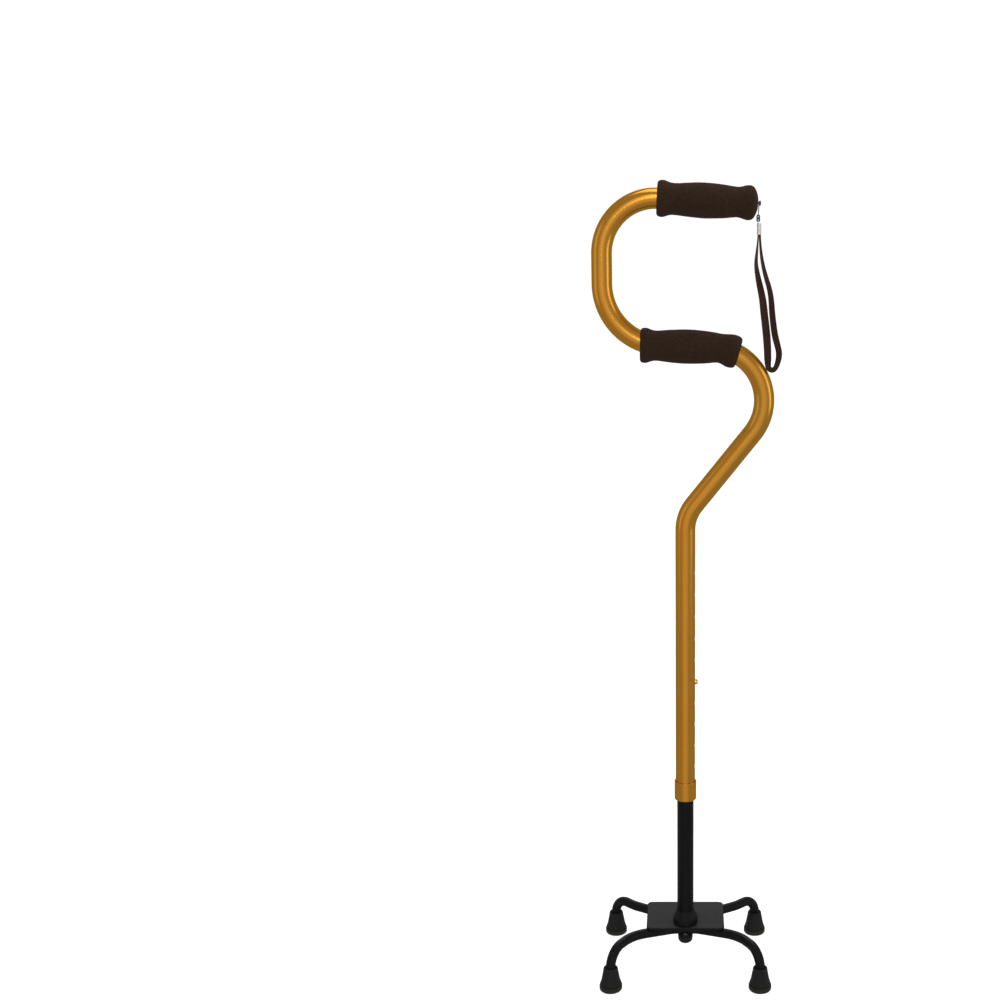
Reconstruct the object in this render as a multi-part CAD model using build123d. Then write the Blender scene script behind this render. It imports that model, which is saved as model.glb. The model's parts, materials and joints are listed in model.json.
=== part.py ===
"""Quad walking cane: a telescopic shaft with a two-grip handle, on a base with four rubber feet.

Millimetres. The origin is on the floor under the shaft's axis and +Z is up. The grips lie along X,
the way the user walks. The base reaches further towards +Y, the side away from the user's leg.
"""
import os
from math import cos, radians, tan

from build123d import *

os.makedirs("parts", exist_ok=True)

# ---------------------------------------------------------------- driving dimensions
# Shaft tubes
handle_od = 22.2                # 7/8 in aluminium
handle_id = 19.2
inner_od = 19.05                # 3/4 in aluminium, slides in the handle tube
inner_id = 16.05
handle_end_z = 215.0            # lower end of the handle tube, inside the collar
inner_top_z = 385.0

# Height holes and their snap button
button_z = 350.7
hole_pitch = 25.4
hole_count = 10
holes_below_button = 4
hole_radius = 3.25
button_radius = 3.1
button_tip_x = 14.2

# Bends of the handle tube
loop_back_x = -89.7             # straight back of the C loop
upper_axis_z = 886.0            # upper grip's axis above the origin
upper_tilt = 2.75               # degrees that it falls towards +X
lower_axis_z = 730.4            # lower grip's axis above the origin
lower_tilt = 1.8
neck_lean = 38.5                # diagonal neck, degrees from vertical
neck_foot_z = 543.3             # where the neck's axis meets the shaft's
bend_radii = [58.0, 67.0, 58.0, 45.0]
tube_tip_x = 70.0               # open end of the tube, inside the upper grip

# Grips
upper_grip_x = -30.5
upper_grip_length = 108.2
lower_grip_x = -49.0
lower_grip_bend_x = 38.0        # where the lower sleeve starts to follow the elbow
lower_grip_end_x = 57.8
lower_grip_turn = 15.0          # degrees that the stiff sleeve gives at the elbow
foam_gap = 0.05

# Wrist strap
rivet_radius = 1.2
cord_diameter = 0.9
link_drop = 13.9                # rivet's axis to the link's upper eye
link_pitch = 3.6
link_radius = 2.1
link_thickness = 2.0
strap_width = 8.5
strap_thickness = 1.5
clamp_size = (4.4, 10.2, 12.0)

# Locking collar
collar_radius = 12.5
chamber_radius = 11.7
collar_edge = 1.1               # radius of the collar's rims
collar_low_z = 210.0
collar_top_z = 232.0

# Base
feet_centre_y = 13.5            # the feet are centred this far from the shaft's axis
feet_half_x = 85.5
feet_half_y = 66.0
plate_x, plate_y, plate_z = 91.0, 66.0, 3.0
plate_centre_y = 18.0
plate_low_z = 51.55
leg_od = 11.1
leg_id = 8.1
leg_bends = [20.0, 45.0, 30.0]  # from the foot to the middle
leg_shoulder_x = 62.0
leg_middle_x = 14.0
leg_middle_y = {-1: 0.0, 1: 30.0}       # where the front and back leg tubes cross the plate
shoulder_share = {-1: 0.30, 1: 0.55}    # of the way from there to the foot
foot_height = 27.0
foot_radius = 13.0
foot_floor = 8.0                # rubber and washer under the end of a leg
hub_radius = 14.4
hub_top_z = 72.0
hub_floor = 3.4

# ---------------------------------------------------------------- derived dimensions
plate_top_z = plate_low_z + plate_z
leg_axis_z = plate_low_z - leg_od / 2
hub_floor_z = plate_top_z + hub_floor
leg_low_z = leg_axis_z - leg_od / 2


def save(shape, name):
    """Write one sub-part."""
    shape.label = name
    export_step(shape, f"parts/{name}.step")


def start_plane(path):
    return Plane(path @ 0, z_dir=path % 0)


def tube_along(path, outer, inner=None):
    """Rod, or tube if it has an inner diameter, along a path of tangent lines and arcs."""
    body = sweep(start_plane(path) * Circle(outer / 2), path=path)
    if inner is None:
        return body
    return body - sweep(start_plane(path) * Circle(inner / 2), path=path)


def rod(radius, low, high):
    """Cylinder about Z between two heights."""
    return Pos(0, 0, (low + high) / 2) * Cylinder(radius, high - low)


def rod_x(radius, low, high):
    """Cylinder about X between two places."""
    return Pos((low + high) / 2, 0, 0) * Rot(0, 90, 0) * Cylinder(radius, high - low)


def turned(*points):
    """Solid of revolution about Z from (radius, height) points."""
    return revolve(make_face(Plane.XZ * Polyline(*points, close=True)), Axis.Z)


# ---------------------------------------------------------------- handle tube
def on_upper_axis(x):
    return (x, 0, upper_axis_z - x * tan(radians(upper_tilt)))


def on_lower_axis(x):
    return (x, 0, lower_axis_z - x * tan(radians(lower_tilt)))


def elbow_corner():
    """Where the lower grip's axis and the neck's axis cross."""
    neck_rise = 1 / tan(radians(neck_lean))
    return on_lower_axis((lower_axis_z - neck_foot_z) / (neck_rise + tan(radians(lower_tilt))))


handle_path = FilletPolyline(
    on_upper_axis(tube_tip_x),
    on_upper_axis(loop_back_x),
    on_lower_axis(loop_back_x),
    elbow_corner(),
    (0, 0, neck_foot_z),
    (0, 0, handle_end_z),
    radius=bend_radii,
)


def handle_tube():
    tube = tube_along(handle_path, handle_od, handle_id)
    lowest_hole_z = button_z - holes_below_button * hole_pitch
    for number in range(hole_count):
        tube -= Pos(0, 0, lowest_hole_z + number * hole_pitch) * rod_x(hole_radius, 0, handle_od)
    return tube


# ---------------------------------------------------------------- foam grips
# Upper grip's side: place along its axis, radius. A rolled collar, a waist, a palm swell, a second
# waist and a bulb with a nearly flat end.
upper_side = [
    (0.0, 16.9), (1.4, 18.4), (4.6, 19.4), (7.8, 19.3), (11.0, 18.2), (14.2, 17.2), (18.0, 16.8),
    (23.7, 17.05), (33.0, 17.9), (42.8, 18.6), (52.0, 18.75), (61.9, 18.35), (71.0, 17.7),
    (80.0, 16.6), (86.0, 16.05), (90.4, 16.8), (94.0, 17.9), (97.4, 18.4), (100.6, 18.0),
    (103.2, 16.4), (105.4, 12.8), (107.4, 7.5), (upper_grip_length, 3.5),
]
# Lower grip's rings, in the same way, with a rolled collar at both ends.
lower_rings = [
    (0.0, 17.2), (1.8, 18.6), (4.6, 19.1), (7.6, 18.9), (10.8, 17.7), (14.0, 16.8), (18.5, 16.4),
    (26.0, 17.1), (34.0, 17.9), (46.0, 18.6), (59.0, 18.45), (72.0, 17.55), (80.0, 16.6),
    (86.0, 16.0), (90.5, 16.5), (95.5, 17.7), (99.5, 18.2), (103.5, 17.8), (106.0, 16.9),
]
lower_end_radius = 15.6
tip_frame = Pos(*on_upper_axis(upper_grip_x)) * Rot(0, upper_tilt, 0)     # X runs out along the grip
tube_tip = (tube_tip_x - upper_grip_x) / cos(radians(upper_tilt))
plug_flange = 2.0


def upper_grip():
    """Foam sleeve, closed over the tube's open end apart from the rivet's hole."""
    outline = make_face(
        [
            Spline(*upper_side),
            Line((upper_grip_length, upper_side[-1][1]), (upper_grip_length, 0)),
            Line((upper_grip_length, 0), (0, 0)),
            Line((0, 0), (0, upper_side[0][1])),
        ]
    )
    foam = revolve(outline, Axis.X)
    foam -= rod_x(handle_od / 2 + foam_gap, -1, tube_tip + plug_flange + foam_gap)
    foam -= rod_x(rivet_radius + foam_gap, tube_tip, upper_grip_length + 1)
    return tip_frame * foam


def lower_sleeve_path():
    """The lower sleeve's own axis: it is stiffer than the tube's bends and follows the elbow in part."""
    fall = tan(radians(lower_tilt + lower_grip_turn))
    bend_x, _, bend_z = on_lower_axis(lower_grip_bend_x)
    return FilletPolyline(
        on_lower_axis(lower_grip_x),
        (bend_x, 0, bend_z),
        (lower_grip_end_x, 0, bend_z - fall * (lower_grip_end_x - bend_x)),
        radius=80.0,
    )


def lower_grip():
    """Foam sleeve over the straight between the loop and the elbow."""
    path = lower_sleeve_path()
    print("lower grip: length", round(path.length, 2))
    rings = [*lower_rings, (path.length, lower_end_radius)]
    sections = []
    for along, radius in rings:
        share = along / path.length
        sections.append(Plane(path @ share, z_dir=path % share) * Circle(radius))
    return loft(sections) - tube_along(handle_path, handle_od + 2 * foam_gap)


# ---------------------------------------------------------------- strap fittings at the grip's end
cord_slot = 1.2                 # room for the cord between the foam and the rivet's head
rivet_head = (2.9, 1.5)         # radius, thickness
plug_depth = 12.0
cord_at = upper_grip_length + cord_slot / 2
cord_bend = 2.1
eye_radius = 0.8


def tube_end_plug():
    plug = rod_x(handle_id / 2 - 0.02, tube_tip - plug_depth, tube_tip)
    plug += rod_x(handle_od / 2, tube_tip, tube_tip + plug_flange)
    return tip_frame * (plug - rod_x(rivet_radius + 0.02, 0, tube_tip + 10))


def strap_rivet():
    head_radius, head_thickness = rivet_head
    head_start = upper_grip_length + cord_slot
    head = fillet(
        rod_x(head_radius, head_start, head_start + head_thickness).edges().sort_by(Axis.X)[-1], 1.2
    )
    return tip_frame * (rod_x(rivet_radius, tube_tip - plug_depth, head_start) + head)


def strap_cord():
    """Thin cord looped round the rivet and through the link's upper eye."""
    top = cord_bend
    bottom = -link_drop
    join = bottom + 4.5
    path = FilletPolyline(
        (cord_at, cord_bend, join + 0.3),
        (cord_at, cord_bend, top),
        (cord_at, -cord_bend, top),
        (cord_at, -cord_bend, bottom),
        (cord_at, cord_bend, bottom),
        (cord_at, cord_bend, join),
        radius=cord_bend - 0.05,
    )
    print("strap cord: length", round(path.length, 1), "bend radius", cord_bend - 0.05)
    return tip_frame * tube_along(path, cord_diameter)


upper_eye = tip_frame * Pos(cord_at, 0, -link_drop)
link_x = upper_eye.position.X
upper_eye_z = upper_eye.position.Z
swing_z = upper_eye_z - link_pitch      # lower eye, where the strap swings
clamp_x = link_x + 1.0
clamp_top_z = swing_z - 3.4
clamp_low_z = clamp_top_z - clamp_size[2]


def strap_link():
    """Two-eyed plastic link, its eyes along Y."""
    eyes = [(link_x, upper_eye_z), (link_x, swing_z)]
    flat = Pos(*eyes[0]) * Circle(link_radius) + Pos(*eyes[1]) * Circle(link_radius)
    flat += Pos(link_x, (upper_eye_z + swing_z) / 2) * Rectangle(2 * link_radius - 0.4, link_pitch)
    for x, z in eyes:
        flat -= Pos(x, z) * Circle(eye_radius)
    return extrude(Plane.XZ * flat, link_thickness / 2, both=True)


def strap_clamp():
    """Crimped sleeve on the strap's two ends, with a wire staple through the link's lower eye."""
    wide, deep, tall = clamp_size
    body = Pos(clamp_x, 0, clamp_low_z + tall / 2) * Box(wide, deep, tall)
    body = fillet(body.edges().filter_by(Axis.Z), 1.4)
    body -= Pos(clamp_x, 0, clamp_low_z + 4) * Box(2 * strap_thickness + 0.3, strap_width + 0.2, 10)
    staple_path = FilletPolyline(
        (link_x, -2.1, clamp_top_z - 1.5),
        (link_x, -2.1, swing_z),
        (link_x, 2.1, swing_z),
        (link_x, 2.1, clamp_top_z - 1.5),
        radius=0.9,
    )
    return body + tube_along(staple_path, 1.0)


# Webbing's route in the XZ plane: down the inner run, round the fold, and up the outer run.
layer_x = strap_thickness / 2 + 0.03
strap_top_z = clamp_low_z + 8.7
strap_route = [
    (clamp_x - layer_x, strap_top_z), (clamp_x - layer_x, clamp_low_z - 1.5), (76.5, 832.0),
    (75.4, 819.0), (77.7, 805.0), (81.0, 791.0), (83.5, 779.0), (84.9, 766.0), (86.5, 754.0),
    (88.0, 741.0), (88.9, 729.0), (89.3, 719.0), (89.7, 710.0), (91.6, 706.3), (95.0, 705.4),
    (97.8, 707.6), (100.4, 714.0), (101.7, 722.5), (100.0, 730.5), (97.0, 741.0), (95.1, 753.0),
    (93.4, 767.0), (92.4, 780.0), (90.4, 792.0), (86.4, 804.5), (82.8, 818.0), (80.7, 831.0),
    (clamp_x + layer_x, clamp_low_z - 1.5), (clamp_x + layer_x, strap_top_z),
]


def corner_radii(route):
    """Radius for each corner: 0.45 of the shorter run, over the tangent of half the turn."""
    radii = []
    for before, corner, after in zip(route, route[1:], route[2:]):
        run_in = Vector(*corner) - Vector(*before)
        run_out = Vector(*after) - Vector(*corner)
        half_turn = radians(run_in.get_angle(run_out)) / 2
        radii.append(0.45 * min(run_in.length, run_out.length) / tan(half_turn))
    return radii


def strap_webbing():
    route = [(x, 0, z) for x, z in strap_route]
    radii = corner_radii(route)
    path = FilletPolyline(*route, radius=radii)
    print("strap webbing: length", round(path.length, 1), "bend radii", [round(r) for r in radii])
    section = Plane(path @ 0, x_dir=(0, 1, 0), z_dir=path % 0) * Rectangle(strap_width, strap_thickness)
    return sweep(section, path=path)


# ---------------------------------------------------------------- collar, bush and inner tube
def lock_collar():
    lip_z = collar_low_z + 1.0
    chamber_z = handle_end_z + 2.0
    collar = turned(
        (10.2, collar_low_z), (collar_radius, collar_low_z), (collar_radius, collar_top_z),
        (handle_od / 2 + 0.1, collar_top_z), (handle_od / 2 + 0.1, chamber_z),
        (chamber_radius, chamber_z), (chamber_radius, lip_z), (10.2, lip_z),
    )
    rims = collar.edges().filter_by(GeomType.CIRCLE).filter_by(lambda e: e.radius > collar_radius - 0.01)
    return fillet(rims, collar_edge)


def collar_bush():
    """Split plastic ring under the handle tube that the collar closes on the inner tube."""
    low, high = collar_low_z + 1.05, handle_end_z
    outer = chamber_radius - 0.1
    bush = turned(
        (handle_id / 2, low), (outer - 0.6, low), (outer, low + 1.2), (outer, high),
        (handle_id / 2, high),
    )
    return bush - Pos(-11, 0, (low + high) / 2) * Box(6, 1.2, 10)


def inner_tube():
    tube = rod(inner_od / 2, hub_floor_z, inner_top_z) - rod(inner_id / 2, 0, inner_top_z + 1)
    return tube - Pos(0, 0, button_z) * rod_x(button_radius + 0.1, 0, inner_od)


def inner_tube_plug():
    """Plug that closes the top of the inner tube, over the spring."""
    stem = rod(inner_id / 2 - 0.02, inner_top_z - 12, inner_top_z)
    return stem + rod(inner_od / 2, inner_top_z, inner_top_z + 2)


def snap_button():
    """Round-nosed button with a flange that stops it inside the inner tube."""
    nose = rod_x(button_radius, 6.8, button_tip_x)
    nose = fillet(nose.edges().sort_by(Axis.X)[-1], 2.2)
    return Pos(0, 0, button_z) * (nose + rod_x(3.9, 5.8, 6.8))


def button_spring():
    """Leaf spring bent to a narrow V: one leaf behind the button, the other on the far wall."""
    leaf = 0.6
    path = FilletPolyline(
        (5.45, 0, button_z + 5), (5.45, 0, button_z - 6), (1.4, 0, button_z - 44),
        (-2.6, 0, button_z - 44), (-6.6, 0, button_z - 4), (-6.6, 0, button_z + 8),
        radius=[20.0, 1.7, 1.7, 20.0],
    )
    section = Plane(path @ 0, x_dir=(0, 1, 0), z_dir=path % 0) * Rectangle(7.0, leaf)
    return sweep(section, path=path)


# ---------------------------------------------------------------- base
bolt_radius = 4.0
bolt_head = (6.5, 5.3)          # half the width across flats, height
washer_radius = 8.7
washer_thickness = 1.6
nut_height = 5.0
cap_low_z = 29.6
nut_top_z = leg_low_z - washer_thickness
nut_low_z = nut_top_z - nut_height


def hexagon(half_width, low, high):
    flat = RegularPolygon(half_width, 6, major_radius=False)
    return extrude(Plane.XY.offset(low) * flat, high - low)


def hub():
    """Squat domed socket for the foot of the inner tube."""
    shell = turned(
        (0, plate_top_z), (hub_radius - 1.2, plate_top_z), (hub_radius, plate_top_z + 3),
        (hub_radius, plate_top_z + 7.5), (12.9, plate_top_z + 12), (10.9, plate_top_z + 15.5),
        (10.6, hub_top_z), (0, hub_top_z),
    )
    shell -= rod(inner_od / 2 + 0.02, hub_floor_z, hub_top_z + 1)
    return shell - rod(bolt_radius + 0.2, 0, hub_top_z)


def base_plate():
    plate = Pos(0, plate_centre_y, (plate_low_z + plate_top_z) / 2) * Box(plate_x, plate_y, plate_z)
    plate = fillet(plate.edges().filter_by(Axis.Z), 7.0)
    plate = chamfer(plate.faces().sort_by(Axis.Z)[-1].edges(), 0.5)
    return plate - rod(bolt_radius + 0.2, 0, 100)


def leg_tube(side):
    """One bent tube that makes both legs of a side; side is -1 at the user, +1 away."""
    foot_y = feet_centre_y + side * feet_half_y
    middle_y = leg_middle_y[side]
    shoulder_y = middle_y + shoulder_share[side] * (foot_y - middle_y)
    half = [
        (feet_half_x, foot_y, foot_floor),
        (feet_half_x, foot_y, leg_axis_z),
        (leg_shoulder_x, shoulder_y, leg_axis_z),
        (leg_middle_x, middle_y, leg_axis_z),
    ]
    other_half = [(-x, y, z) for x, y, z in reversed(half)]
    path = FilletPolyline(*half, *other_half, radius=leg_bends + leg_bends[::-1])
    tube = tube_along(path, leg_od, leg_id)
    if side < 0:
        tube -= rod(bolt_radius + 0.2, 0, 100)
    return tube


def hub_bolt():
    half_width, height = bolt_head
    shank = rod(bolt_radius, nut_low_z - 0.4, hub_floor_z)
    return shank + hexagon(half_width, hub_floor_z, hub_floor_z + height)


def hub_washer():
    return rod(washer_radius, nut_top_z, leg_low_z) - rod(bolt_radius + 0.3, 0, 100)


def hub_nut():
    return hexagon(6.5, nut_low_z, nut_top_z) - rod(bolt_radius + 0.02, 0, 100)


def nut_cap():
    """Domed plastic cap pushed over the nut."""
    high = nut_top_z - 0.1
    dome = turned(
        (0, cap_low_z), (4.6, cap_low_z + 0.5), (7.4, cap_low_z + 2.0), (8.5, cap_low_z + 4),
        (8.6, high), (0, high),
    )
    return dome - rod(7.6, nut_low_z - 0.6, high + 1)


feet = {
    "front_left": (-feet_half_x, feet_centre_y - feet_half_y),
    "front_right": (feet_half_x, feet_centre_y - feet_half_y),
    "back_left": (-feet_half_x, feet_centre_y + feet_half_y),
    "back_right": (feet_half_x, feet_centre_y + feet_half_y),
}


def foot_tip():
    """Tapered rubber tip with a tread flange, a steel washer's seat and a socket for the leg."""
    tip = turned(
        (0, 0), (foot_radius - 1.2, 0), (foot_radius, 1.2), (foot_radius, 6.0), (12.2, 6.7),
        (12.0, 7.6), (10.9, 11.5), (8.7, 23.0), (8.4, 25.6), (7.6, foot_height), (0, foot_height),
    )
    tip -= rod(leg_od / 2 + 0.05, foot_floor, foot_height + 1)
    return tip - rod(7.6, foot_floor - 1.55, foot_floor)


def foot_washer():
    return rod(7.5, foot_floor - 1.5, foot_floor)


# ---------------------------------------------------------------- write every sub-part
single_parts = [
    handle_tube, upper_grip, lower_grip, tube_end_plug, strap_rivet, strap_cord, strap_link,
    strap_clamp, strap_webbing, lock_collar, collar_bush, inner_tube, inner_tube_plug, snap_button,
    button_spring, hub, base_plate, hub_bolt, hub_washer, hub_nut, nut_cap,
]
for make in single_parts:
    save(make(), make.__name__)

save(leg_tube(-1), "front_leg_tube")
save(leg_tube(1), "back_leg_tube")
for place, (x, y) in feet.items():
    save(Pos(x, y, 0) * foot_tip(), f"foot_tip_{place}")
save(Compound(children=[Pos(x, y, 0) * foot_washer() for x, y in feet.values()]), "foot_washers")

sway_point = (tip_frame * Pos(cord_at, 0, 0)).position
print("strap joints: rivet", sway_point, "eye", round(link_x, 2), round(swing_z, 2))
print("clamp:", round(clamp_x, 2), round(clamp_low_z, 2), round(clamp_top_z, 2))
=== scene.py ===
"""Looks of the quad walking cane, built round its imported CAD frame.

Metres. The origin is on the floor under the shaft, +Z is up and the grips lie along X.
"""
import json
from math import asin, ceil, cos, pi, radians, sin, tan

import bmesh
import bpy
import numpy as np
from mathutils import Matrix, Vector, noise
from mathutils.kdtree import KDTree


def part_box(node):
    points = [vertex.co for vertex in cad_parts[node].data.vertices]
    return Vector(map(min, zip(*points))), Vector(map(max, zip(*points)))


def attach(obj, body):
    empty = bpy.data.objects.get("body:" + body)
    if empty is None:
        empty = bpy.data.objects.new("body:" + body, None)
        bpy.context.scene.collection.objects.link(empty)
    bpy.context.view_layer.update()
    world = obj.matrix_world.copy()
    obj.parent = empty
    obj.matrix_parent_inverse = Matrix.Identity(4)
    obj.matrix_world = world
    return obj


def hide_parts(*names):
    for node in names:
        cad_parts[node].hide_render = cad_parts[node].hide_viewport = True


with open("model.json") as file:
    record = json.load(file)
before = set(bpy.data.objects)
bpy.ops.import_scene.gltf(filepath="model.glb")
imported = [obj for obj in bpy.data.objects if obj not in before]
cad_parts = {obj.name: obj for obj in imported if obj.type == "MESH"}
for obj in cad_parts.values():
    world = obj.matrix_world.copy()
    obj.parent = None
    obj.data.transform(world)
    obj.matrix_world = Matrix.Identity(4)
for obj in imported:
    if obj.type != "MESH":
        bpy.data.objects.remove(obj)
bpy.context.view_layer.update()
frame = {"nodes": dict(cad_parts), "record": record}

MM = 0.001

# ------------------------------------------------------------------ camera
camera_back = 1.5               # distance in front of the shaft
camera_height = 0.8565
camera_pitch = 11.14            # degrees below the horizon
camera_lens = 49.74
shaft_right_of_centre = 0.1854  # share of the picture's width


def add_camera():
    data = bpy.data.cameras.new("studio_camera")
    data.lens = camera_lens
    data.shift_x = -shaft_right_of_centre
    camera = bpy.data.objects.new("studio_camera", data)
    camera.location = (0, -camera_back, camera_height)
    camera.rotation_euler = (radians(90 - camera_pitch), 0, 0)
    bpy.context.scene.collection.objects.link(camera)
    bpy.context.scene.camera = camera


# ------------------------------------------------------------------ outlines and axes
def rounded(corners, closed=True, steps=6):
    """Outline with round corners. A corner is (a, b) if it is sharp and (a, b, radius) if it is round."""
    outline = []
    count = len(corners)
    for number, corner in enumerate(corners):
        here = Vector(corner[:2])
        radius = corner[2] if len(corner) > 2 else 0
        if not radius or (not closed and number in (0, count - 1)):
            outline.append(tuple(here))
            continue
        back = Vector(corners[number - 1][:2]) - here
        on = Vector(corners[(number + 1) % count][:2]) - here
        half_turn = (pi - back.angle(on)) / 2
        reach = min(radius * tan(half_turn), 0.49 * back.length, 0.49 * on.length)
        start = here + back.normalized() * reach
        end = here + on.normalized() * reach
        for step in range(steps + 1):
            share = step / steps
            first = start.lerp(here, share)
            second = here.lerp(end, share)
            outline.append(tuple(first.lerp(second, share)))
    return outline


def smooth_line(points, steps=7):
    """Smooth open line through the points (Catmull-Rom)."""
    points = [np.array(p, float) for p in points]
    padded = [2 * points[0] - points[1], *points, 2 * points[-1] - points[-2]]
    line = []
    for before, here, there, after in zip(padded, padded[1:], padded[2:], padded[3:]):
        for step in range(steps):
            t = step / steps
            bend = (there - before) * t
            bend = bend + (2 * before - 5 * here + 4 * there - after) * t**2
            bend = bend + (3 * here - before - 3 * there + after) * t**3
            line.append(tuple(here + bend / 2))
    return line + [tuple(points[-1])]


class Axis:
    """Axis of a round piece: straight, or a metal tube's straights joined by the arcs of its bends."""

    spacing = 0.5 * MM

    def __init__(self, corners, bends=()):
        corners = [Vector(c) for c in corners]
        points = [corners[0]]
        for before, corner, after, radius in zip(corners, corners[1:], corners[2:], bends):
            back = (before - corner).normalized()
            on = (after - corner).normalized()
            half_turn = (pi - back.angle(on)) / 2
            centre = corner + (back + on).normalized() * radius / cos(half_turn)
            spoke = corner + back * radius * tan(half_turn) - centre
            hinge = spoke.cross(corner + on * radius * tan(half_turn) - centre)
            count = ceil(2 * half_turn * radius / self.spacing)
            for step in range(count + 1):
                points.append(centre + Matrix.Rotation(2 * half_turn * step / count, 3, hinge) @ spoke)
        points.append(corners[-1])
        self.follow(points)

    @classmethod
    def through(cls, points):
        """Axis through points that are already close together."""
        axis = cls.__new__(cls)
        axis.follow([Vector(p) for p in points])
        return axis

    def follow(self, points):
        line = np.array([tuple(p) for p in points])
        run = np.linalg.norm(np.diff(line, axis=0), axis=1)
        reached = np.concatenate([[0], np.cumsum(run)])
        self.length = float(reached[-1])
        self.at = np.linspace(0, self.length, max(2, ceil(self.length / self.spacing)) + 1)
        self.points = np.stack([np.interp(self.at, reached, line[:, k]) for k in range(3)], axis=1)
        tangents = np.gradient(self.points, axis=0)
        self.tangents = tangents / np.linalg.norm(tangents, axis=1)[:, None]
        side = np.array([0.0, 1.0, 0.0])
        sides = []
        for tangent in self.tangents:
            side = side - tangent * (side @ tangent)
            side = side / np.linalg.norm(side)
            sides.append(side)
        self.sides = np.array(sides)

    def frame(self, along):
        """Centre, side and up vectors at a length along the axis, or past its ends."""
        inside = min(max(along, 0), self.length)

        def read(table):
            return np.array([np.interp(inside, self.at, table[:, k]) for k in range(3)])

        tangent, side = read(self.tangents), read(self.sides)
        return read(self.points) + tangent * (along - inside), side, np.cross(tangent, side)


# ------------------------------------------------------------------ pieces
axis_point = 1e-7                       # an outline point nearer to the axis than this is one point


def round_solid(axis, outline, around=64, closed=True, offset=None):
    """Mesh of a round solid. The outline is (length along the axis, radius) pairs. offset(point, radius)
    gives how far a point stands out."""
    rings, points = [], []
    for along, radius in outline:
        centre, side, up = axis.frame(along)
        if radius < axis_point:
            rings.append([len(points)])
            points.append(centre)
            continue
        ring = []
        for step in range(around):
            angle = 2 * pi * step / around
            outward = cos(angle) * side + sin(angle) * up
            point = centre + radius * outward
            if offset is not None:
                point = point + outward * offset(point, radius)
            ring.append(len(points))
            points.append(point)
        rings.append(ring)
    faces = []
    for first, second in zip(rings, rings[1:] + rings[:1] if closed else rings[1:]):
        if len(first) == 1 and len(second) == 1:
            continue
        for step in range(around):
            after = (step + 1) % around
            if len(first) == 1:
                faces.append((first[0], second[step], second[after]))
            elif len(second) == 1:
                faces.append((first[step], second[0], first[after]))
            else:
                faces.append((first[step], second[step], second[after], first[after]))
    return points, faces


def add_mesh(name, points, faces):
    mesh = bpy.data.meshes.new(name)
    mesh.from_pydata([tuple(p) for p in points], [], faces)
    work = bmesh.new()
    work.from_mesh(mesh)
    bmesh.ops.recalc_face_normals(work, faces=work.faces)
    work.to_mesh(mesh)
    work.free()
    piece = bpy.data.objects.new(name, mesh)
    bpy.context.scene.collection.objects.link(piece)
    return piece


def bake_modifiers(piece):
    """Replaces a piece's mesh by what its modifiers make of it."""
    view = bpy.context.evaluated_depsgraph_get()
    view.update()
    mesh = bpy.data.meshes.new_from_object(piece.evaluated_get(view))
    piece.modifiers.clear()
    piece.data = mesh


def cut_away(piece, cutters):
    """Boolean difference."""
    for cutter in cutters:
        cut = piece.modifiers.new("cut", "BOOLEAN")
        cut.operation = "DIFFERENCE"
        cut.solver = "EXACT"
        cut.object = cutter
    bake_modifiers(piece)
    for cutter in cutters:
        bpy.data.objects.remove(cutter)


def lay_out_straight(piece, axis):
    """Stores each point's place on the unbent axis, which grain and weave follow round bends."""
    tree = KDTree(len(axis.points))
    for number, point in enumerate(axis.points):
        tree.insert(point, number)
    tree.balance()
    places = []
    for vertex in piece.data.vertices:
        number = tree.find(vertex.co)[1]
        centre, side = Vector(axis.points[number]), Vector(axis.sides[number])
        tangent = Vector(axis.tangents[number])
        spoke = vertex.co - centre
        along = axis.at[number] + spoke.dot(tangent)
        places.extend((spoke.dot(side), spoke.dot(tangent.cross(side)), along))
    layer = piece.data.attributes.new("straight", "FLOAT_VECTOR", "POINT")
    layer.data.foreach_set("vector", places)


def dress(piece, body, slot, replaces=(), sharp=35):
    """Shading, finish, and the body that a piece rides on."""
    piece.data.materials.clear()
    piece.data.materials.append(finishes[slot])
    if piece.type == "MESH":
        piece.data.shade_smooth()
        piece.data.set_sharp_from_angle(angle=radians(sharp))
    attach(piece, body)
    if replaces:
        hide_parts(*replaces)
    return piece


def turned(name, axis, outline, body, slot, replaces=(), around=72, **more):
    points, faces = round_solid(axis, outline, around, **more)
    return dress(add_mesh(name, points, faces), body, slot, replaces)


def upright(x=0.0, y=0.0):
    return Axis([(x, y, 0), (x, y, 1)])


def millimetres(rows):
    return [tuple(value * MM for value in row) for row in rows]


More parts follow.
